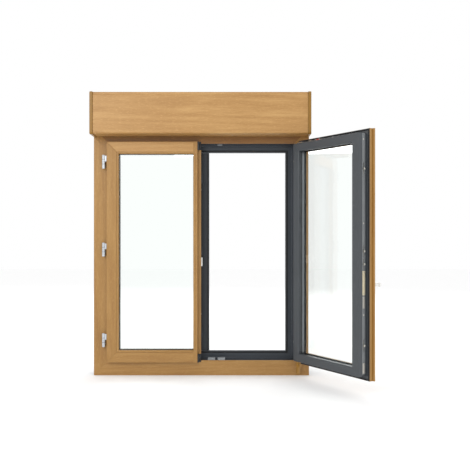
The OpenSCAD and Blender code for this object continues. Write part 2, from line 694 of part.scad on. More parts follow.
// the slider runs in the leaf's top groove, with a pin that reaches up to the arm
module stay_slider() {
    x = hinge_x - stay_len;
    z = leaf_hi - reach;
    color(steel) opened() {
        block([x - 25, tool_y - 7, z - 3], [x + 25, tool_y + 7, z]);
        block([x - 25, tool_y - 3, z], [x + 25, tool_y + 3, z + 0.6]);
        bar_z([x, tool_y, z], 4, stay_z - gap - 0.6 - z);
    }
}

// ---------- shutter ----------

module shutter_axle() {
    color(steel) {
        // octagonal tube
        difference() {
            translate([-cap_x + 14, roll_y, roll_z]) rotate([0, 90, 0]) cylinder(r = axle_r, h = 2 * cap_x - 28, $fn = 8);
            bar_x([-cap_x + 13, roll_y, roll_z], axle_r - 5, 2 * cap_x);
        }
        // plug on the idler pin and crown on the motor
        difference() {
            bar_x([-cap_x + 14, roll_y, roll_z], axle_r - 5, 12);
            bar_x([-cap_x + 13, roll_y, roll_z], 6 + run, 14);
        }
        difference() {
            bar_x([cap_x - 34, roll_y, roll_z], axle_r - 5, 12);
            bar_x([cap_x - 35, roll_y, roll_z], motor_r + run, 14);
        }
    }
}

module shutter_roll() {
    color("#c9c9c4") difference() {
        bar_x([-curtain_x + 6, roll_y, roll_z], roll_r, 2 * curtain_x - 12);
        bar_x([-curtain_x + 5, roll_y, roll_z], axle_r + 0.2, 2 * curtain_x);
    }
}

module shutter_curtain() {
    color("#c9c9c4") block([-curtain_x, slat_y - slat_t / 2, end_z + end_h], [curtain_x, slat_y + slat_t / 2, roll_z]);
}

// end slat with two stops that meet the box's rear panel
module end_slat() {
    color(grey) {
        block([-curtain_x, slat_y - slat_t / 2, end_z], [curtain_x, slat_y + slat_t / 2, end_z + end_h]);
        for (x = [-300, 300]) bar_y([x, slat_y + slat_t / 2, end_z + 18], 8, 22);
    }
}

frame_member("left");  // frame_jamb_left
frame_member("right");  // frame_jamb_right
frame_member("top");  // frame_head
frame_member("bottom");  // frame_sill
rebate_seals();
drain_caps();
box_front();
box_top();
box_rear();
box_hatch();
box_end("left");  // box_end_left
box_end("right");  // box_end_right
box_insulation();
roller_bearings();
tube_motor();
guide("left");  // guide_left
guide("right");  // guide_right
guide_brushes();
left_frame_hinges();
frame_strikers();
stay_bearing();
pivot_bearing();
left_rail("left");  // left_hinge_stile
left_meeting_stile();
left_rail("top");  // left_top_rail
left_rail("bottom");  // left_bottom_rail
left_beads();
left_panes();
left_spacer();
left_gaskets();
mullion_wing();
mullion_caps();
left_leaf_hinges();
mullion_keepers();
slide_bolt(1);  // top_bolt
slide_bolt(-1);  // bottom_bolt
right_member("right");  // right_hinge_stile
right_member("left");  // right_lock_stile
right_member("top");  // right_top_rail
right_member("bottom");  // right_bottom_rail
right_beads();
right_panes();
right_spacer();
right_gaskets();
cover_strip();
lock_faceplate();
gearbox();
handle_rose();
pivot_strap();
lock_rod();
bottom_rod();
handle_lever();
pivot_knuckle();
stay_carrier();
stay_arm();
stay_slider();
shutter_axle();
shutter_roll();
shutter_curtain();
end_slat();
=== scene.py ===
"""Looks of a two-leaf casement window with a roller-shutter box, built round its fixed frame."""

from __future__ import annotations

import logging
import math
from dataclasses import dataclass
from enum import Enum
from typing import Any, Callable, Iterable, Mapping, Sequence

import bpy
from mathutils import Matrix, Vector


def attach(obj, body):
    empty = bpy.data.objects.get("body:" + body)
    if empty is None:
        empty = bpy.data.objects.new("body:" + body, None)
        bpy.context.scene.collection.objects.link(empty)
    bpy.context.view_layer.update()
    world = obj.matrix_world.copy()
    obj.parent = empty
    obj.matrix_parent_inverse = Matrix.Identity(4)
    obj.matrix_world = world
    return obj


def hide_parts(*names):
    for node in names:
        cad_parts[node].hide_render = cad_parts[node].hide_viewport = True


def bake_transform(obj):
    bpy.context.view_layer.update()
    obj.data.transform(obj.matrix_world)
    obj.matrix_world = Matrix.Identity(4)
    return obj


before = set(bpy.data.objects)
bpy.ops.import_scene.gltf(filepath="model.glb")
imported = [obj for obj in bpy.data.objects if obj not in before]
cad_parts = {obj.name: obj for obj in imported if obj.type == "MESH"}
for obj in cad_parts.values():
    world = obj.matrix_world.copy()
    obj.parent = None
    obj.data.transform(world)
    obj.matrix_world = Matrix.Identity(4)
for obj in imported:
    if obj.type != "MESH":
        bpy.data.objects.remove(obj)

LOG = logging.getLogger("window")
MM = 0.001
# degrees that the right leaf is open at rest
OPEN_ANGLE = 124.0
Point = tuple[float, float, float]
Flat = tuple[float, float]
Rgba = tuple[float, float, float, float]
Shape = tuple[list[Sequence[float]], list[list[int]]]
Rule = Callable[[Vector, Vector], int]


class Grain(Enum):
    """The way a member's wood grain runs."""

    UPRIGHT = "upright"
    LEVEL = "level"


class Axis(Enum):
    """The axis that a turned shape stands on."""

    DEPTH = "y"
    HEIGHT = "z"


# ---------- small tools ----------


def linear(code: str) -> Rgba:
    """Turns an sRGB hex colour into linear values.

    Args:
        code: a colour such as "#c08a50".

    Returns:
        Red, green, blue and an alpha of 1.
    """
    values = [int(code[i : i + 2], 16) / 255 for i in (1, 3, 5)]
    curve = [v / 12.92 if v <= 0.04045 else ((v + 0.055) / 1.055) ** 2.4 for v in values]
    return (curve[0], curve[1], curve[2], 1.0)


def add(
    tree: bpy.types.NodeTree, kind: str, feeds: Mapping[Any, Any] | None = None, **settings: Any
) -> bpy.types.Node:
    """Adds a node with its settings and links.

    Args:
        tree: the node tree.
        kind: the node's type, without the "ShaderNode" before it.
        feeds: a socket to link or a value to set, for each input by name or number.
        settings: the node's own properties.

    Returns:
        The new node.
    """
    node = tree.nodes.new("ShaderNode" + kind)
    for name, value in settings.items():
        setattr(node, name, value)
    for name, value in (feeds or {}).items():
        if isinstance(value, bpy.types.NodeSocket):
            tree.links.new(value, node.inputs[name])
        else:
            node.inputs[name].default_value = value
    return node


def set_ramp(node: bpy.types.Node, stops: Sequence[tuple[float, Rgba]]) -> None:
    """Gives a colour ramp its stops.

    Args:
        node: the ramp.
        stops: a place from 0 to 1 and a colour for each stop.
    """
    elements = node.color_ramp.elements
    while len(elements) < len(stops):
        elements.new(0.5)
    for element, (place, colour) in zip(elements, stops):
        element.position = place
        element.color = colour


# ---------- finishes ----------


@dataclass(frozen=True)
class Finish:
    """A surface with an even colour that varies a little, and a fine relief.

    Attributes:
        name: the material's name.
        colour: its colour as sRGB hex.
        roughness: the shader's roughness.
        metallic: 1 for bare metal.
        vary: how much lighter and darker the colour gets.
        grain: size of the pattern along X, Y and Z, in mm.
        relief: height of the relief, in mm.
        coat: weight of a clear coat.
    """

    name: str
    colour: str
    roughness: float
    metallic: float = 0.0
    vary: float = 0.06
    grain: Point = (3.0, 3.0, 3.0)
    relief: float = 0.01
    coat: float = 0.0

    def make(self) -> bpy.types.Material:
        """Builds the material, unless it is there already.

        Returns:
            The material.
        """
        found = bpy.data.materials.get(self.name)
        return found or self.build(bpy.data.materials.new(self.name))

    def start(
        self, material: bpy.types.Material
    ) -> tuple[bpy.types.NodeTree, bpy.types.Node, bpy.types.Node]:
        """Clears a material and adds its shader, output and coordinates.

        Args:
            material: the new material.

        Returns:
            The node tree, the Principled shader and the coordinates.
        """
        material.use_nodes = True
        tree = material.node_tree
        tree.nodes.clear()
        feeds = {"Roughness": self.roughness, "Metallic": self.metallic, "Coat Weight": self.coat}
        shader = add(tree, "BsdfPrincipled", feeds)
        add(tree, "OutputMaterial", {"Surface": shader.outputs[0]})
        material.diffuse_color = linear(self.colour)
        return tree, shader, add(tree, "TexCoord")

    def build(self, material: bpy.types.Material) -> bpy.types.Material:
        """Builds the nodes.

        Args:
            material: the new material.

        Returns:
            The same material.
        """
        tree, shader, place = self.start(material)
        scale = [1 / (g * MM) for g in self.grain]
        mapped = add(tree, "Mapping", {"Vector": place.outputs["Object"], "Scale": scale})
        fine = add(tree, "TexNoise", {"Vector": mapped.outputs[0], "Scale": 1.0, "Detail": 3.0})
        wide = add(tree, "TexNoise", {"Vector": place.outputs["Object"], "Scale": 9.0, "Detail": 2.0})
        both = add(tree, "Mix", {0: 0.45, 2: fine.outputs[0], 3: wide.outputs[0]}, data_type="FLOAT")
        base = linear(self.colour)
        ramp = add(tree, "ValToRGB", {"Fac": both.outputs[0]})
        shades = (1 - self.vary * 2, 1 + self.vary * 2)
        dark, light = ((*(min(1.0, c * f) for c in base[:3]), 1.0) for f in shades)
        set_ramp(ramp, [(0.3, dark), (0.7, light)])
        tree.links.new(ramp.outputs[0], shader.inputs["Base Color"])
        rough = add(
            tree,
            "MapRange",
            {
                "Value": both.outputs[0],
                "From Min": 0.3,
                "From Max": 0.7,
                "To Min": self.roughness * 0.88,
                "To Max": min(1.0, self.roughness * 1.12),
            },
        )
        tree.links.new(rough.outputs[0], shader.inputs["Roughness"])
        relief = {"Height": fine.outputs[0], "Strength": 1.0, "Distance": self.relief * MM}
        bump = add(tree, "Bump", relief)
        tree.links.new(bump.outputs[0], shader.inputs["Normal"])
        return material


@dataclass(frozen=True)
class OakFoil(Finish):
    """Light-oak foil: printed and embossed wood grain laminated on a profile or panel.

    Attributes:
        run: the way the grain runs.
        turn: degrees that the member is turned about the upright axis.
        dark: colour of the grain lines.
        light: colour between the lines.
        figure: width of one flame of the figure, in mm.
        line: distance between two lines of the figure.
        shift: moves the figure, so that members differ.
    """

    colour: str = "#997138"
    roughness: float = 0.42
    relief: float = 0.12
    run: Grain = Grain.UPRIGHT
    turn: float = 0.0
    dark: str = "#83592a"
    light: str = "#ac854d"
    figure: float = 70.0
    line: float = 8.0
    shift: float = 0.0

    def build(self, material: bpy.types.Material) -> bpy.types.Material:
        """Builds the nodes: figure from contours of a long noise, streaks and open pores.

        Args:
            material: the new material.

        Returns:
            The same material.
        """
        tree, shader, place = self.start(material)
        turned = add(
            tree,
            "Mapping",
            {
                "Vector": place.outputs["Object"],
                "Rotation": (0, 0, math.radians(-self.turn)),
                "Location": (self.shift, 0, self.shift),
            },
        )

        def stretched(along: float, across: float) -> bpy.types.NodeSocket:
            """Gives coordinates that are stretched along the grain.

            Args:
                along: the pattern's period along the grain, in mm.
                across: its period across the grain.

            Returns:
                The coordinates' socket.
            """
            a, c = 1 / (along * MM), 1 / (across * MM)
            scale = (c, c, a) if self.run is Grain.UPRIGHT else (a, c, c)
            return add(tree, "Mapping", {"Vector": turned.outputs[0], "Scale": scale}).outputs[0]

        flames = {"Vector": stretched(900, self.figure), "Scale": 1.0, "Detail": 0.6, "Roughness": 0.4}
        figure = add(tree, "TexNoise", flames)
        steep = self.figure / self.line * 6.4
        lines = add(tree, "Math", {0: figure.outputs[0], 1: steep}, operation="MULTIPLY")
        wave = add(tree, "Math", {0: lines.outputs[0]}, operation="SINE")
        streaks = {"Vector": stretched(70, 2.2), "Scale": 1.0, "Detail": 5.0, "Roughness": 0.6}
        streak = add(tree, "TexNoise", streaks)
        patch = add(tree, "TexNoise", {"Vector": stretched(300, 28), "Scale": 1.0, "Detail": 2.0})
        mixed = add(tree, "Mix", {0: 0.07, 2: streak.outputs[0], 3: wave.outputs[0]}, data_type="FLOAT")
        level = add(tree, "Mix", {0: 0.40, 2: mixed.outputs[0], 3: patch.outputs[0]}, data_type="FLOAT")
        ramp = add(tree, "ValToRGB", {"Fac": level.outputs[0]})
        set_ramp(ramp, [(0.16, linear(self.dark)), (0.46, linear(self.colour)), (0.76, linear(self.light))])
        pores = add(tree, "TexNoise", {"Vector": stretched(14, 0.9), "Scale": 1.0, "Detail": 2.0})
        pits = add(
            tree,
            "MapRange",
            {"Value": pores.outputs[0], "From Min": 0.58, "From Max": 0.70, "To Min": 0.0, "To Max": 0.35},
        )
        pitted = {0: pits.outputs[0], 6: ramp.outputs[0], 7: linear(self.dark)}
        shade = add(tree, "Mix", pitted, data_type="RGBA")
        rays = add(tree, "TexNoise", {"Vector": stretched(17, 2.6), "Scale": 1.0, "Detail": 2.0})
        flecks = add(
            tree,
            "MapRange",
            {"Value": rays.outputs[0], "From Min": 0.56, "From Max": 0.68, "To Min": 0.0, "To Max": 0.55},
        )
        flecked = {0: flecks.outputs[0], 6: shade.outputs[2], 7: linear(self.light)}
        tone = add(tree, "Mix", flecked, data_type="RGBA")
        tree.links.new(tone.outputs[2], shader.inputs["Base Color"])
        rough = add(
            tree,
            "MapRange",
            {"Value": streak.outputs[0], "To Min": self.roughness - 0.06, "To Max": self.roughness + 0.10},
        )
        tree.links.new(rough.outputs[0], shader.inputs["Roughness"])
        height = add(tree, "Math", {0: streak.outputs[0], 1: pits.outputs[0]}, operation="SUBTRACT")
        relief = {"Height": height.outputs[0], "Strength": 0.6, "Distance": self.relief * MM}
        bump = add(tree, "Bump", relief)
        tree.links.new(bump.outputs[0], shader.inputs["Normal"])
        return material


@dataclass(frozen=True)
class FloatGlass(Finish):
    """Float glass, fire-polished flat: clear, with the faint green of its iron. Light passes through it."""

    def build(self, material: bpy.types.Material) -> bpy.types.Material:
        """Builds the nodes: glass to the eye, and clear to lamps.

        Args:
            material: the new material.

        Returns:
            The same material.
        """
        tree, shader, _ = self.start(material)
        glass = {"Base Color": linear(self.colour), "IOR": 1.45, "Transmission Weight": 1.0}
        for name, value in glass.items():
            shader.inputs[name].default_value = value
        clear = add(tree, "BsdfTransparent", {"Color": linear(self.colour)})
        light = add(tree, "LightPath")
        feeds = {0: light.outputs["Is Shadow Ray"], 1: shader.outputs[0], 2: clear.outputs[0]}
        both = add(tree, "MixShader", feeds)
        output = next(n for n in tree.nodes if n.type == "OUTPUT_MATERIAL")
        tree.links.new(both.outputs[0], output.inputs["Surface"])
        return material


# PVC profile wrapped in light-oak foil: satin, warm, with embossed pores that run along each member
OAK_UPRIGHT = OakFoil("light_oak_foil_upright")
OAK_LEVEL = OakFoil("light_oak_foil_level", run=Grain.LEVEL)
# the same on the open leaf, whose members are turned with it
OAK_LEAF_UPRIGHT = OakFoil("light_oak_foil_open_upright", turn=OPEN_ANGLE)
OAK_LEAF_LEVEL = OakFoil("light_oak_foil_open_level", run=Grain.LEVEL, turn=OPEN_ANGLE)
# a paler tone of the foil for the left leaf's top rail and a darker one for the head
# painted light: the left leaf's top rail is paler, as where light falls fully on it under the box
OAK_PAINTED_LIGHT_RAIL = OakFoil(
    "light_oak_foil_painted_light", "#ae844c", run=Grain.LEVEL, dark="#966d38", light="#be975f", shift=0.21
)
# painted shade: the head is darker, as where the box above casts its shadow on it
OAK_PAINTED_SHADE_HEAD = OakFoil(
    "light_oak_foil_painted_shade", "#7e5728", run=Grain.LEVEL, dark="#68441b", light="#8f6734", shift=0.53
)
# box panels carry the same foil with a broader, plain-sawn figure
OAK_PANEL = OakFoil(
    "light_oak_foil_panel",
    "#a67c45",
    run=Grain.LEVEL,
    line=11.0,
    dark="#8f6632",
    light="#c0985f",
    shift=0.37,
)
# bearings, strap and sleeve under oak-coloured lacquer, as their covers match the foil
HINGE_OAK = Finish(
    "oak_coloured_lacquered_bearing",
    "#98702f",
    0.38,
    vary=0.04,
    grain=(2.0, 2.0, 2.0),
    relief=0.02,
    coat=0.2,
)
# moulded and painted to match: no grain, deeper colour, fine spark texture
BOX_CAP = Finish("oak_coloured_moulded_cap", "#855f17", 0.40, vary=0.05, grain=(2.0, 2.0, 2.0), relief=0.03)
# anthracite foil: nearly matt, cool dark grey, fine leather emboss
ANTHRACITE = Finish("anthracite_foil", "#2e343b", 0.44, grain=(1.2, 1.2, 6.0), relief=0.05)
# a lighter tone of the same foil for the open leaf's outdoor side
# painted light: lighter, as where light falls on the open leaf's outdoor side
ANTHRACITE_PAINTED_LIGHT = Finish("anthracite_foil_painted_light", "#3e4246", 0.44, grain=(1.2, 1.2, 6.0), relief=0.05)
# a darker tone of the same foil for the mullion side
# painted shade: darker, as in the shade of the recess between the leaves
ANTHRACITE_PAINTED_SHADE = Finish("anthracite_foil_painted_shade", "#22272d", 0.44, grain=(1.2, 1.2, 6.0), relief=0.05)
# TPE gasket: extruded, dull black with a soft edge
GASKET = Finish("extruded_rubber_gasket", "#0c0e11", 0.62, vary=0.08, grain=(4.0, 4.0, 9.0), relief=0.02)
# moulded polyamide: black, slightly glossier than rubber
BLACK_CAP = Finish("moulded_black_polyamide", "#1b1e22", 0.46, grain=(1.5, 1.5, 1.5), relief=0.03)
# zinc-plated steel: rolled and stamped, cool grey with faint drawing lines
ZINC = Finish("zinc_plated_steel", "#bdbab2", 0.34, metallic=1.0, vary=0.05, grain=(1.5, 1.5, 24.0))
# galvanised keepers and faceplate: dull and darker than the rods
DULL_ZINC = Finish("dull_galvanised_steel", "#85888a", 0.5, metallic=0.7, vary=0.12, relief=0.03)
# die-cast zinc keepers with a dark passivated skin
DARK_ZINC = Finish(
    "dark_passivated_zinc", "#31373e", 0.46, metallic=0.4, vary=0.08, grain=(2.0, 2.0, 2.0), relief=0.02
)
# die-cast zinc under silver lacquer: even, pale, softly shining
SILVER = Finish(
    "silver_lacquered_zinc", "#bcc0c5", 0.32, metallic=0.6, vary=0.03, grain=(2.5, 2.5, 2.5), coat=0.3
)
# powder coat of the lever, its rose and the bright keeper: white, smooth, a slight orange peel
WHITE = Finish(
    "white_powder_coat", "#e9e9e6", 0.34, vary=0.02, grain=(2.2, 2.2, 2.2), relief=0.02, coat=0.2
)
# yellow-chromated gearbox plate
CHROMATE = Finish("chromated_steel", "#d8cdb0", 0.38, metallic=0.8, grain=(6.0, 6.0, 6.0))
# nickel-plated screws and the stay's rib
SCREW = Finish("nickel_plated_screw", "#c4c1ba", 0.28, metallic=1.0, vary=0.04, grain=(1.0, 1.0, 1.0))
GLASS = FloatGlass("float_glass", "#fdfffe", 0.0)
# rolled spacer bar of anodised aluminium, matt
SPACER = Finish(
    "anodised_spacer_bar", "#8d9094", 0.42, metallic=1.0, vary=0.05, grain=(2.0, 2.0, 2.0), relief=0.02
)
# cut polystyrene board: white beads
FOAM = Finish("polystyrene_board", "#e6e7e4", 0.85, vary=0.05, grain=(4.0, 4.0, 4.0), relief=0.3)
# stove-enamelled, foam-filled aluminium slats
SLAT = Finish("stove_enamelled_slat", "#8f9396", 0.40, vary=0.03, grain=(6.0, 2.0, 2.0), relief=0.02)
# painted steel tube of the motor
MOTOR = Finish("painted_motor_tube", "#d5d6d4", 0.38, vary=0.03, coat=0.2)
# brush pile: dense dull black hair
PILE = Finish("polypropylene_pile", "#22252a", 0.9, vary=0.15, grain=(0.8, 0.8, 8.0), relief=0.3)
# red paint dot that marks the stay's release
RED = Finish("red_marking_paint", "#c62a22", 0.4, vary=0.03)
# studio floor
PAPER = Finish("matt_white_paper", "#fcfcfc", 0.9, vary=0.004, grain=(40.0, 40.0, 40.0), relief=0.0)


# ---------- meshes ----------


def solid(
    name: str,
    points: Iterable[Sequence[float]],
    faces: Iterable[Sequence[int]],
    finishes: Sequence[Finish],
    place: Matrix | None = None,
    smooth: bool = True,
    edge: float = 0.0,
) -> bpy.types.Object:
    """Makes a mesh object from points in millimetres.

    Args:
        name: the piece's name.
        points: its points, in mm.
        faces: its faces, as point numbers.
        finishes: its finishes, in slot order.
        place: a matrix that puts the piece in place, in metres.
        smooth: shades it smooth.
        edge: width of rounded edges in mm, or 0.

    Returns:
        The new object.
    """
    mesh = bpy.data.meshes.new(name)
    mesh.from_pydata([Vector(p) * MM for p in points], [], [list(f) for f in faces])
    if place is not None:
        mesh.transform(place)
    mesh.validate()
    for finish in finishes:
        mesh.materials.append(finish.make())
    obj = bpy.data.objects.new(name, mesh)
    bpy.context.scene.collection.objects.link(obj)
    for face in mesh.polygons:
        face.use_smooth = smooth
    if edge:
        soften(obj, edge)
    LOG.info("piece %s: %d faces", name, len(mesh.polygons))
    return obj


def soften(obj: bpy.types.Object, width: float, angle: float = 32.0, segments: int = 2) -> None:
    """Rounds the edges of a piece with modifiers, and leaves its own points as they are.

    Args:
        obj: the piece.
        width: width of the rounding, in mm.
        angle: edges sharper than this are rounded, in degrees.
        segments: faces across the rounding.
    """
    weld = obj.modifiers.new("join_points", "WELD")
    weld.merge_threshold = 1e-6
    flat = obj.modifiers.new("join_faces", "DECIMATE")
    flat.decimate_type = "DISSOLVE"
    flat.angle_limit = math.radians(0.5)
    flat.delimit = {"MATERIAL"}
    bevel = obj.modifiers.new("round_edges", "BEVEL")
    bevel.width = width * MM
    bevel.limit_method = "ANGLE"
    bevel.angle_limit = math.radians(angle)
    bevel.segments = segments
    bevel.use_clamp_overlap = True
    for face in obj.data.polygons:
        face.use_smooth = True
    shade = obj.modifiers.new("even_shading", "WEIGHTED_NORMAL")
    shade.keep_sharp = True
    shade.weight = 80


def skin(rings: Sequence[Sequence[Sequence[float]]], caps: bool = True) -> Shape:
    """Joins rings of equal length into one surface.

    Args:
        rings: the rings' points, in order.
        caps: closes both ends with a face.

    Returns:
        Points and faces.
    """
    count = len(rings[0])
    points = [p for ring in rings for p in ring]
    faces = []
    for ring in range(len(rings) - 1):
        a, b = ring * count, (ring + 1) * count
        for i in range(count):
            j = (i + 1) % count
            faces.append([a + i, a + j, b + j, b + i])
    if caps:
        faces.append(list(range(count))[::-1])
        faces.append([(len(rings) - 1) * count + i for i in range(count)])
    return points, faces


def merge(parts: Sequence[Shape]) -> Shape:
    """Puts several shapes into one.

    Args:
        parts: the shapes.

    Returns:
        Points and faces.
    """
    points: list[Sequence[float]] = []
    faces: list[list[int]] = []
    for some_points, some_faces in parts:
        start = len(points)
        points += list(some_points)
        faces += [[i + start for i in face] for face in some_faces]
    return points, faces


def turned(profile: Sequence[Flat], centre: Point, axis: Axis, steps: int = 40) -> Shape:
    """A turned shape.

    Args:
        profile: radius and height pairs along the axis, in mm.
        centre: where height 0 is.
        axis: the axis it stands on.
        steps: sides of the turning.

    Returns:
        Points and faces.
    """
    rings = []
    for radius, height in profile:
        ring = []
        for i in range(steps):
            a = math.tau * i / steps
            u, v = radius * math.cos(a), radius * math.sin(a)
            local = (v, height, u) if axis is Axis.DEPTH else (u, v, height)
            ring.append(tuple(c + d for c, d in zip(centre, local)))
        rings.append(ring)
    return skin(rings)


def rounded(width: float, height: float, radius: float, steps: int = 6) -> list[Flat]:
    """A rectangle with round corners about the origin.

    Args:
        width: its width, in mm.
        height: its height.
        radius: of the corners.
        steps: faces round each corner.

    Returns:
        Its points, in order.
    """
    points = []
    for corner, (sx, sy) in enumerate(((1, 1), (-1, 1), (-1, -1), (1, -1))):
        x, y = sx * (width / 2 - radius), sy * (height / 2 - radius)
        for i in range(steps + 1):
            a = math.radians(90 * corner + 90 * i / steps)
            points.append((x + radius * math.cos(a), y + radius * math.sin(a)))
    return points


@dataclass(frozen=True)
class Screw:
    """A countersunk screw head with a cross drive.

    Attributes:
        radius: of the head, in mm.
        height: how far the dome rises over the surface.
        steps: points round the head.
    """

    radius: float = 4.0
    height: float = 0.5
    steps: int = 40

    def shape(self, centre: Point, out: Point) -> Shape:
        """The head's points and faces.

        Args:
            centre: the middle of the head on the surface, in mm.
            out: the direction away from the surface.

        Returns:
            Points and faces.
        """
        normal = Vector(out).normalized()
        side = normal.orthogonal().normalized()
        other = normal.cross(side)
        arm, half = self.radius * 0.62, self.radius * 0.14

        def cross(a: float) -> float:
            """Gives the distance from the middle to the drive's edge at an angle.

            Args:
                a: the angle, in radians.

            Returns:
                The distance, in mm.
            """
            p = (a + math.pi / 4) % (math.pi / 2) - math.pi / 4
            return min(arm / math.cos(p), half / max(abs(math.sin(p)), 1e-6))

        levels: list[tuple[Callable[[float], float], float]] = [
            (lambda a: self.radius, -0.6),
            (lambda a: self.radius, 0.05),
            (lambda a: self.radius * 0.9, self.height * 0.6),
            (lambda a: cross(a) * 1.02 + self.radius * 0.05, self.height),
            (cross, self.height - 0.15),
            (lambda a: cross(a) * 0.8, -0.5),
        ]
        angles = [math.tau * i / self.steps for i in range(self.steps)]
        rays = [(a, side * math.cos(a) + other * math.sin(a)) for a in angles]
        middle = Vector(centre)
        return skin([
            [middle + ray * reach(a) + normal * height for a, ray in rays] for reach, height in levels
        ])


# ---------- dressing of the frame's own nodes ----------


def dress(
    name: str,
    *finishes: Finish,
    edge: float = 0.0,
    rule: Rule | None = None,
    back: Matrix | None = None,
) -> None:
    """Gives a node of the fixed frame its finishes.

    Args:
        name: the node's name.
        finishes: its finishes, in slot order.
        edge: width of rounded edges in mm, or 0.
        rule: gives the slot of a face from its middle, in mm, and its normal.
        back: a matrix that takes the node to where the rule's sizes hold.
    """
    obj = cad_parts[name]
    mesh = obj.data
    mesh.materials.clear()
    for finish in finishes:
        mesh.materials.append(finish.make())
    place = back or Matrix.Identity(4)
    spin = place.to_3x3()
    for face in mesh.polygons:
        if rule:
            face.material_index = rule(place @ face.center * 1000, spin @ face.normal)
    if edge:
        soften(obj, edge)
    LOG.info("node %s: %s", name, ", ".join(f.name for f in finishes))


def put(obj: bpy.types.Object, body: str, slot: str, *nodes: str) -> bpy.types.Object:
    """Lets a piece ride on a body, and lets it stand for nodes.

    Args:
        obj: the piece.
        body: the body's name.
        slot: the record's material slot; not used.
        nodes: the nodes it stands for.

    Returns:
        The same piece.
    """
    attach(obj, body)
    if nodes:
        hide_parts(*nodes)
    return obj


@dataclass
class Sizes:
    """Sizes that several sub-assemblies share, in mm.

    Attributes:
        face_y: room face of the outer frame.
        inner_x: rebate of the jambs.
        flange_y: back of a leaf's flange.
        bead_y: where a bead's oak foil ends.
        leaf_lo: bottom edge of the leaves.
        leaf_hi: their top edge.
        hinge_x: hinge axis, to either side.
        axis_y: hinge axis in the depth.
        tool_y: middle of the hardware groove.
        open_angle: degrees that the right leaf is open at rest.
    """

    face_y: float = -35.0
    inner_x: float = 430.0
    flange_y: float = -39.0
    bead_y: float = -41.0
    leaf_lo: float = 62.0
    leaf_hi: float = 1084.0
    hinge_x: float = 451.5
    axis_y: float = -52.0
    tool_y: float = -22.0
    open_angle: float = OPEN_ANGLE

    def opened(self) -> Matrix:
        """Finds where the right leaf is at rest.

        Returns:
            The matrix that takes the closed leaf there, in metres.
        """
        pin = Vector((self.hinge_x, self.axis_y, 0)) * MM
        turn = Matrix.Rotation(math.radians(self.open_angle), 4, "Z")
        return Matrix.Translation(pin) @ turn @ Matrix.Translation(-pin)


def extent(name: str) -> tuple[Vector, Vector]:
    """Gives the least and greatest coordinates of a node of the fixed frame.

    Args:
        name: the node's name.

    Returns:
        Both corners of its box, in mm.
    """
    points = [v.co * 1000 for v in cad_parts[name].data.vertices]
    low, high = (Vector([pick(p[i] for p in points) for i in range(3)]) for pick in (min, max))
    return low, high


def bead_rule(limit: float, low: float, high: float, reach: float = 75.0) -> Rule:
    """A rule for glazing beads: upright foil, anthracite behind, and level foil at the top and bottom.

    Args:
        limit: the y that divides oak and anthracite, in mm.
        low: the leaf's bottom edge.
        high: its top edge.
        reach: beads closer than this to either edge are level.

    Returns:
        The rule.
    """

    def rule(middle: Vector, normal: Vector) -> int:
        """Gives a face its slot.

        Args:
            middle: the face's middle, in mm.
            normal: its normal.

        Returns:
            The slot.
        """
        if middle.y >= limit:
            return 1
        return 2 if min(middle.z - low, high - middle.z) < reach else 0

    return rule


def profile_rule(limit: float) -> Rule:
    """A rule that gives faces nearer the room than a limit the first finish, and the others the second.

    Args:
        limit: the y that divides them, in mm.

    Returns:
        The rule.
    """
    return lambda middle, normal: 0 if middle.y < limit else 1


@dataclass
class OuterFrame:
    """Jambs, head and sill with seals, drainage, keepers and fixing screws.

    Attributes:
        sizes: shared sizes.
        fixings: heights of the fixing screws, in mm.
        screw_y: their place in the depth.
        screw_r: radius of their heads.
    """

    sizes: Sizes
    fixings: tuple[float, float] = (151.5, 996.5)
    screw_y: float = -14.0
    screw_r: float = 6.0

    def build(self) -> None:
        """Dresses the members and adds the screws."""
        rule = profile_rule(self.sizes.face_y + 1.0)
        # the head's foil carries painted shade from the box above it
        for name, foil in (
            ("frame_jamb_left", OAK_UPRIGHT),
            ("frame_jamb_right", OAK_UPRIGHT),
            ("frame_head", OAK_PAINTED_SHADE_HEAD),
            ("frame_sill", OAK_LEVEL),
        ):
            dress(name, foil, ANTHRACITE, edge=1.2, rule=rule)
        dress("rebate_seals", GASKET, edge=0.8)
        dress("drain_caps", ANTHRACITE, edge=1.2)
        dress("frame_strikers", DULL_ZINC, edge=0.5)
        for name in ("stay_bearing", "pivot_bearing"):
            dress(name, HINGE_OAK, edge=0.8)
        head = Screw(radius=self.screw_r)
        shapes = [
            head.shape((side * (self.sizes.inner_x - 0.2), self.screw_y, z), (-side, 0, 0))
            for side in (-1, 1) for z in self.fixings
        ]
        put(solid("frame_fixing_screws", *merge(shapes), [ZINC]), "frame", "zinc_steel")


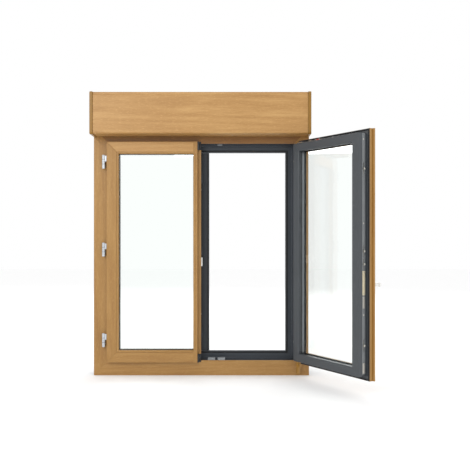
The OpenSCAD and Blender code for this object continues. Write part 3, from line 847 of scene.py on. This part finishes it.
@dataclass
class ShutterBox:
    """The box over the frame with its motor, roll, hanging curtain and guides.

    Attributes:
        sizes: shared sizes.
        roll_y: the roller's axis in the depth, in mm.
        roll_z: its height.
        roll_r: radius of the wound slats.
        axle_r: radius of the axle.
        half: half the length of a slat.
        slat_y: the hanging slats' place in the depth.
        slat_t: thickness of a slat.
        pitch: height of a slat.
        groove: how much thinner a slat gets towards its edges.
        drop: travel of the shutter.
        end_top: top of the end slat at rest.
        hatch_x: places of the hatch's screws.
        rear_x: places of the rear panel's screws.
        cap_inset: distance of the caps' screws from their edges.
        rear_inset: distance of the rear panel's screws from its top.
        roll_inset: how much shorter the wound slats are at each end.
        roll_steps: points round each turn of the roll.
        rows: points up each hanging slat.
    """

    sizes: Sizes
    roll_y: float = -14.0
    roll_z: float = 1211.7
    roll_r: float = 61.0
    axle_r: float = 33.0
    half: float = 478.0
    slat_y: float = 52.5
    slat_t: float = 9.0
    pitch: float = 38.0
    groove: float = 3.52
    drop: float = 1095.0
    end_top: float = 1150.0
    hatch_x: tuple[float, float, float, float] = (-430.0, -145.0, 145.0, 430.0)
    rear_x: tuple[float, float, float, float] = (-440.0, -150.0, 150.0, 440.0)
    cap_inset: float = 26.0
    rear_inset: float = 24.0
    roll_inset: float = 6.0
    roll_steps: int = 96
    rows: int = 8

    def build(self) -> None:
        """Dresses the box and builds its slats."""
        dress("box_front", OAK_PANEL, edge=1.5)
        for name in ("box_top", "box_hatch"):
            dress(name, OAK_PANEL, edge=0.8)
        for name in ("box_rear", "guide_left", "guide_right", "end_slat"):
            dress(name, ANTHRACITE, edge=0.8)
        for name in ("box_end_left", "box_end_right"):
            dress(name, BOX_CAP, edge=1.5)
        dress("box_insulation", FOAM)
        dress("roller_bearings", ZINC, edge=0.6)
        dress("tube_motor", MOTOR, edge=0.8)
        dress("shutter_axle", ZINC)
        dress("guide_brushes", PILE)
        self.screws()
        put(self.roll(), "roller", "slat_grey", "shutter_roll")
        self.curtain()

    def screws(self) -> None:
        """Adds the screws of the hatch, the rear panel and the end caps."""
        head = Screw(radius=4.0)
        low, high = extent("box_hatch")
        shapes = [head.shape((x, (low.y + high.y) / 2, low.z + 0.1), (0, 0, -1)) for x in self.hatch_x]
        low, high = extent("box_rear")
        shapes += [head.shape((x, high.y - 0.1, high.z - self.rear_inset), (0, 1, 0)) for x in self.rear_x]
        for name, side in (("box_end_left", -1), ("box_end_right", 1)):
            low, high = extent(name)
            face = low.x if side < 0 else high.x
            shapes += [
                head.shape((face - side * 0.1, y, z), (side, 0, 0))
                for y in (low.y + self.cap_inset, high.y - self.cap_inset)
                for z in (low.z + self.cap_inset, high.z - self.cap_inset)
            ]
        put(solid("box_screws", *merge(shapes), [SCREW]), "frame", "zinc_steel")

    def slat_wave(self, place: float) -> float:
        """Gives how far a slat bulges.

        Args:
            place: distance along the curtain, in mm.

        Returns:
            The bulge to one side, in mm.
        """
        from_middle = (place % self.pitch) / self.pitch - 0.5
        return self.slat_t / 2 * (1 - self.groove * from_middle**2)

    def ribbon(self, front: list[Flat], rear: list[Flat], reach: float) -> Shape:
        """Joins the two sides of a row of slats into a closed sheet with flat ends.

        Args:
            front: y and z of one side, in mm.
            rear: y and z of the other side, in the same order.
            reach: x of the ends.

        Returns:
            Points and faces.
        """
        outline = front + rear[::-1]
        points, faces = skin([[(x, p[0], p[1]) for p in outline] for x in (-reach, reach)], caps=False)
        count = len(outline)
        for side in (0, 1):
            for i in range(len(front) - 1):
                quad = [i, i + 1, count - 2 - i, count - 1 - i]
                faces.append([side * count + k for k in (quad if side else quad[::-1])])
        return points, faces

    def roll(self) -> bpy.types.Object:
        """Winds the slats into a spiral.

        Returns:
            The piece.
        """
        turns = (self.roll_r - self.axle_r) / (self.slat_t + 0.2)
        outer, inner, length = [], [], 0.0
        steps = int(turns * self.roll_steps)
        for i in range(steps + 1):
            a = math.tau * turns * i / steps
            mid = self.axle_r + self.slat_t / 2 + (self.slat_t + 0.1) * (a / math.tau) * (turns - 1) / turns
            length += mid * math.tau * turns / steps
            bulge = self.slat_wave(length) - 0.3
            for ring, r in ((outer, mid + bulge), (inner, mid - bulge)):
                ring.append((self.roll_y + r * math.cos(-a), self.roll_z + r * math.sin(-a)))
        return solid("wound_slats", *self.ribbon(outer, inner, self.half - self.roll_inset), [SLAT])

    def curtain(self) -> None:
        """Builds the hanging slats, pressed together inside the box at rest."""
        top, bottom = self.roll_z, self.end_top
        travel, span = self.drop, self.roll_z - self.end_top

        def rest_height(final: float) -> float:
            """Finds where a row of points is at rest.

            Args:
                final: its height when the shutter is down, in mm.

            Returns:
                Its height at rest.
            """
            low, high = 0.0, 1.0
            for _ in range(50):
                t = (low + high) / 2
                z = top - span * t - travel * t * t * (3 - 2 * t)
                low, high = (t, high) if z > final else (low, t)
            return top - span * (low + high) / 2

        rows = []
        final_end = bottom - travel
        z = final_end
        while z < top - 0.5:
            rows.append((z, self.slat_wave(z - final_end)))
            z += self.pitch / self.rows
        rows.append((top, 2.0))
        front = [(self.slat_y - w + 0.2, rest_height(z)) for z, w in rows]
        rear = [(self.slat_y + w - 0.2, rest_height(z)) for z, w in rows]
        piece = solid("hanging_slats", *self.ribbon(front, rear, self.half), [SLAT], smooth=False)
        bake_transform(piece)
        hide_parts("shutter_curtain")


@dataclass
class LeftLeaf:
    """The closed leaf with its false mullion, bolts and hinges.

    Attributes:
        sizes: shared sizes.
        hinge_z: heights of the hinges, in mm.
        keeper_z: heights of the keepers.
        keeper_t: thickness of a keeper.
        keeper_reach: distance from the bright keeper's middle that holds all of it.
        screw_reach: distance of a keeper's screws from its middle.
        screw_r: radius of their heads.
        cap_steps: sides of a hinge's caps and washers.
        meet_lip: edge of the flange over the recessed strip.
        web_x: face of the mullion that the keepers stand on.
    """

    sizes: Sizes
    hinge_z: tuple[float, float, float] = (166.0, 584.5, 990.0)
    keeper_z: tuple[float, float, float, float] = (206.0, 535.0, 587.0, 921.0)
    keeper_t: float = 2.0
    keeper_reach: float = 24.0
    screw_reach: float = 8.0
    screw_r: float = 3.2
    cap_steps: int = 32
    meet_lip: float = -17.7
    web_x: float = -5.0

    def build(self) -> None:
        """Dresses the members and adds hinge caps and screws."""
        oak = self.sizes.flange_y - 0.5

        def strip(middle: Vector, normal: Vector) -> int:
            """Gives oak in front of the flange's back and on the recessed strip.

            Args:
                middle: the face's middle, in mm.
                normal: its normal.

            Returns:
                The slot.
            """
            recessed = middle.x > self.meet_lip - 0.3 and middle.y < self.sizes.face_y + 0.2
            return 0 if middle.y < oak or recessed else 1

        dress("left_hinge_stile", OAK_UPRIGHT, ANTHRACITE, edge=1.2, rule=profile_rule(oak))
        # the meeting stile's anthracite faces take the foil with painted shade
        dress("left_meeting_stile", OAK_UPRIGHT, ANTHRACITE_PAINTED_SHADE, edge=0.8, rule=strip)
        # the top rail's foil carries painted light
        dress("left_top_rail", OAK_PAINTED_LIGHT_RAIL, ANTHRACITE, edge=1.2, rule=profile_rule(oak))
        dress("left_bottom_rail", OAK_LEVEL, ANTHRACITE, edge=1.2, rule=profile_rule(oak))
        dress(
            "left_beads",
            OAK_UPRIGHT,
            ANTHRACITE,
            OAK_LEVEL,
            edge=0.8,
            rule=bead_rule(self.sizes.bead_y + 0.5, self.sizes.leaf_lo, self.sizes.leaf_hi),
        )
        dress("left_panes", GLASS)
        dress("left_spacer", SPACER)
        dress("left_gaskets", GASKET)
        # the mullion wing takes the foil with painted shade
        dress("mullion_wing", ANTHRACITE_PAINTED_SHADE, edge=1.0)
        dress("mullion_caps", BLACK_CAP, edge=0.8)
        dress("left_frame_hinges", SILVER, edge=0.9)
        dress("left_leaf_hinges", SILVER, edge=0.9)
        dress(
            "mullion_keepers",
            WHITE,
            DARK_ZINC,
            edge=0.4,
            rule=lambda middle, normal: 0 if abs(middle.z - self.keeper_z[1]) < self.keeper_reach else 1,
        )
        dress("top_bolt", ZINC, edge=0.4)
        dress("bottom_bolt", ZINC, edge=0.4)
        head = Screw(radius=self.screw_r)
        face = self.web_x + self.keeper_t
        shapes = [
            head.shape((face, self.sizes.tool_y, z + d), (1, 0, 0))
            for z in self.keeper_z
            for d in (-self.screw_reach, self.screw_reach)
        ]
        put(solid("keeper_screws", *merge(shapes), [SCREW]), "left_leaf", "zinc_steel")
        pin = (-self.sizes.hinge_x, self.sizes.axis_y)
        cap = ((6.9, 30.6), (6.8, 31.2), (5.6, 31.9), (3.4, 32.3), (0.8, 32.4))
        washer = ((6.2, 9.6), (7.25, 9.8), (7.25, 10.9), (6.2, 11.1))
        caps, washers = [], []
        for z in self.hinge_z:
            for way in (-1, 1):
                for group, profile in ((caps, cap), (washers, washer)):
                    section = [(r, way * h) for r, h in profile]
                    group.append(turned(section, (*pin, z), Axis.HEIGHT, self.cap_steps))
        put(solid("hinge_end_caps", *merge(caps), [SILVER]), "frame", "hinge_silver")
        put(solid("hinge_washers", *merge(washers), [BLACK_CAP]), "frame", "black_plastic")


@dataclass
class RightLeaf:
    """The open tilt-and-turn leaf with its lock, handle and stay.

    Attributes:
        sizes: shared sizes.
        lock_x: face of the faceplate on the closed leaf, in mm.
        screw_z: heights of the faceplate's screws.
        screw_r: radius of their heads.
        handle_z: height of the handle.
        spindle_x: the spindle's place on the closed leaf.
        rose_y: face that the rose stands on.
        lever_len: length of the lever.
        lever_ends: the lever's length over that of one rounded end.
        arm_z: underside of the stay arm.
        rib_t: thickness of its rib.
        rivets: distances of its rivets from its frame end.
        mark_reach: distance of the painted mark from there.
    """

    sizes: Sizes
    lock_x: float = 7.0
    screw_z: tuple[float, float, float, float] = (120.0, 330.0, 700.0, 1040.0)
    screw_r: float = 3.6
    handle_z: float = 448.0
    spindle_x: float = 16.5
    rose_y: float = -65.0
    lever_len: float = 112.0
    lever_ends: float = 14.0
    arm_z: float = 1066.2
    rib_t: float = 1.5
    rivets: tuple[float, float, float] = (20.0, 118.0, 232.0)
    mark_reach: float = 142.0

    def build(self) -> None:
        """Dresses the members and builds the handle and screws."""
        place = self.sizes.opened()
        back = place.inverted()
        rule = profile_rule(self.sizes.flange_y - 0.5)
        # the open leaf's anthracite faces, here and on its beads below, take the foil with painted light
        for name, foil in (
            ("right_hinge_stile", OAK_LEAF_UPRIGHT),
            ("right_lock_stile", OAK_LEAF_UPRIGHT),
            ("right_top_rail", OAK_LEAF_LEVEL),
            ("right_bottom_rail", OAK_LEAF_LEVEL),
        ):
            dress(name, foil, ANTHRACITE_PAINTED_LIGHT, edge=1.2, rule=rule, back=back)
        dress(
            "right_beads",
            OAK_LEAF_UPRIGHT,
            ANTHRACITE_PAINTED_LIGHT,
            OAK_LEAF_LEVEL,
            edge=0.8,
            rule=bead_rule(self.sizes.bead_y + 0.5, self.sizes.leaf_lo, self.sizes.leaf_hi),
            back=back,
        )
        dress("cover_strip", OAK_LEAF_UPRIGHT, edge=0.8)
        dress("right_panes", GLASS)
        dress("right_spacer", SPACER)
        dress("right_gaskets", GASKET)
        dress("lock_faceplate", DULL_ZINC, edge=0.4)
        dress("gearbox", CHROMATE, edge=0.6)
        dress("lock_rod", ZINC, edge=0.4)
        dress("bottom_rod", ZINC, edge=0.4)
        for name in ("pivot_strap", "pivot_knuckle", "stay_carrier"):
            dress(name, HINGE_OAK, edge=0.8)
        dress("stay_arm", ZINC, edge=0.5)
        dress("stay_slider", ZINC, edge=0.5)
        head = Screw(radius=self.screw_r)
        shapes = [head.shape((self.lock_x - 0.1, self.sizes.tool_y, z), (-1, 0, 0)) for z in self.screw_z]
        put(solid("faceplate_screws", *merge(shapes), [SCREW], place=place), "right_leaf", "zinc_steel")
        self.handle(place)
        self.fronts(place)
        self.stay_rib(place)

    def handle(self, place: Matrix) -> None:
        """Builds the rose and the lever.

        Args:
            place: takes the closed leaf to its place at rest.
        """
        x, z, y = self.spindle_x, self.handle_z, self.rose_y
        levels = ((28.0, 56.0, 0.0), (28.0, 56.0, -6.6), (27.2, 55.2, -7.6), (25.6, 53.6, -8.0))
        rings = [[(x + u, y + depth, z + v) for u, v in rounded(w, h, 6.0)] for w, h, depth in levels]
        collar = turned([(12.0, -7.5), (12.0, -12.6), (11.4, -13.7), (8.6, -14.0)], (x, y, z), Axis.DEPTH)
        shape = merge([skin(rings), collar])
        rose = solid("lever_rose", *shape, [WHITE], place=place, smooth=False, edge=0.5)
        put(rose, "right_leaf", "handle_lacquer", "handle_rose")
        neck = turned([(8.0, -13.2), (8.0, -40.0), (8.6, -48.0)], (x, y, z), Axis.DEPTH)
        spine, middle, steps, sides = [], y - 52.0, 48, 28
        for i in range(steps + 1):
            t = i / steps
            from_end = min(1.0, min(t, 1 - t) * self.lever_ends)
            bulge = max(0.06, math.sin(math.acos(1 - from_end)))
            along = x - 13.0 + (self.lever_len + 18.0) * t
            high, deep = (9.0 - 1.2 * t) * bulge, (9.0 - 2.4 * t) * bulge
            spine.append([
                (along, middle + deep * math.cos(a), z + high * math.sin(a))
                for a in (math.tau * k / sides for k in range(sides))
            ])
        lever = solid("lever", *merge([neck, skin(spine)]), [WHITE], place=place)
        put(lever, "handle", "handle_lacquer", "handle_lever")

    def fronts(self, place: Matrix) -> None:
        """Adds the fronts of the gearbox and corner drives on the faceplate, with their screws.

        Args:
            place: takes the closed leaf to its place at rest.
        """
        for name, finish, low, high, width in (
            ("gearbox_front", CHROMATE, 409.0, 508.0, 14.5),
            ("latch_front", ZINC, 356.0, 404.0, 12.0),
            ("corner_drive_front", ZINC, 94.0, 136.0, 13.0),
        ):
            middle, half = (low + high) / 2, (high - low) / 2
            levels = ((0.0, 0.2), (0.0, -0.9), (0.5, -1.3))
            rings = [
                [
                    (self.lock_x + depth, self.sizes.tool_y + u, middle + v)
                    for u, v in rounded(width - 2 * inset, 2 * half - 2 * inset, 3.0)
                ]
                for inset, depth in levels
            ]
            plate = skin(rings)
            heads = [
                Screw(radius=3.0, height=0.4).shape(
                    (self.lock_x - 1.25, self.sizes.tool_y, middle + s * (half - 7.0)), (-1, 0, 0)
                )
                for s in (-1, 1)
            ]
            put(solid(name, *plate, [finish], place=place, smooth=False), "right_leaf", "zinc_steel")
            put(solid(name + "_screws", *merge(heads), [SCREW], place=place), "right_leaf", "zinc_steel")

    def stay_rib(self, place: Matrix) -> None:
        """Adds the stay arm's upright rib with its tabs, its rivets and the painted mark.

        Args:
            place: takes the closed leaf to its place at rest.
        """
        near, base = self.sizes.inner_x - 8.0, self.arm_z
        outline = [(near, base + 0.1)]
        for start, end in ((0.0, 36.0), (80.0, 98.0), (126.0, 158.0)):
            outline += [
                (near - start, base + 3.4),
                (near - start - 2.0, base + 6.6),
                (near - end + 2.0, base + 6.6),
                (near - end, base + 3.4),
            ]
        outline += [(near - 168.0, base + 3.4), (near - 172.0, base + 0.1)]
        y = self.sizes.tool_y + 5.9
        rings = [[(u, depth, v) for u, v in outline] for depth in (y - self.rib_t, y)]
        rib = solid("stay_arm_rib", *skin(rings), [SCREW], place=place, smooth=False, edge=0.25)
        put(rib, "stay_arm", "zinc_steel")
        dome = ((4.2, 2.9), (4.2, 3.5), (3.4, 4.3), (1.6, 4.8))
        rivets = [turned(dome, (near - d, self.sizes.tool_y, base), Axis.HEIGHT, 24) for d in self.rivets]
        put(solid("stay_arm_rivets", *merge(rivets), [SCREW], place=place), "stay_arm", "zinc_steel")
        oval = [(near - self.mark_reach + u, base + 4.1 + v) for u, v in rounded(17.0, 4.6, 1.2)]
        rings = [[(u, y + depth, v) for u, v in oval] for depth in (-0.1, 0.35)]
        put(solid("release_mark", *skin(rings), [RED], place=place, smooth=False), "stay_arm", "zinc_steel")


# ---------- studio ----------


@dataclass(frozen=True)
class Lamp:
    """A soft square lamp.

    Attributes:
        name: its name.
        eye: where it stands, in metres.
        target: the point it shines at.
        size: its side, in metres.
        power: in watts.
    """

    name: str
    eye: Point
    target: Point
    size: float
    power: float

    def build(self) -> None:
        """Adds the lamp."""
        light = bpy.data.lights.new(self.name, "AREA")
        light.size, light.energy = self.size, self.power
        holder = bpy.data.objects.new(self.name, light)
        holder.location = self.eye
        holder.rotation_euler = (Vector(self.target) - Vector(self.eye)).to_track_quat("-Z", "Y").to_euler()
        bpy.context.scene.collection.objects.link(holder)


@dataclass
class Studio:
    """Floor, lamps, world and camera.

    Attributes:
        lens: focal length, in mm.
        sensor: width of the sensor, in mm.
        eye: where the camera stands, in metres.
        shift: the camera's upward shift, as a share of the image.
        floor_half: half the floor's side, in mm.
        floor_z: height of the floor.
        lamps: the lamps.
    """

    lens: float = 50.0
    sensor: float = 36.0
    eye: Point = (0.156, -3.070, 0.658)
    shift: float = -1.3 / 470
    floor_half: float = 9000.0
    floor_z: float = -0.6
    lamps: tuple[Lamp, ...] = (
        Lamp("key", (-1.9, -3.3, 2.35), (0.0, 0.0, 0.7), size=2.0, power=51.0),
        Lamp("fill", (2.6, -2.6, 1.6), (0.0, 0.0, 0.6), size=2.5, power=12.0),
        Lamp("rear", (0.6, 3.4, 2.6), (0.0, 0.0, 0.6), size=2.5, power=45.0),
    )

    def build(self) -> None:
        """Builds the whole studio."""
        scene = bpy.context.scene
        scene.view_settings.view_transform = "Standard"
        world = bpy.data.worlds.new("studio")
        scene.world = world
        world.use_nodes = True
        world.node_tree.nodes["Background"].inputs[0].default_value = linear("#ffffff")
        world.node_tree.nodes["Background"].inputs[1].default_value = 1.0
        half = self.floor_half
        signs = ((-1, -1), (1, -1), (1, 1), (-1, 1))
        corners = [(x * half, y * half, self.floor_z) for x, y in signs]
        floor = solid("floor", corners, [(0, 1, 2, 3)], [PAPER])
        for lamp in self.lamps:
            lamp.build()
        camera = bpy.data.cameras.new("camera")
        camera.lens, camera.sensor_width, camera.shift_y = self.lens, self.sensor, self.shift
        holder = bpy.data.objects.new("camera", camera)
        holder.location = self.eye
        holder.rotation_euler = (math.radians(90), 0, 0)
        scene.collection.objects.link(holder)
        scene.camera = holder


def main() -> None:
    """Builds the window piece by piece."""
    logging.basicConfig(level=logging.INFO, format="%(name)s: %(message)s")
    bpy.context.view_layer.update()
    sizes = Sizes()
    Studio().build()
    for part in (OuterFrame(sizes), ShutterBox(sizes), LeftLeaf(sizes), RightLeaf(sizes)):
        LOG.info("sub-assembly %s", type(part).__name__)
        part.build()


if __name__ == "__main__":
    main()
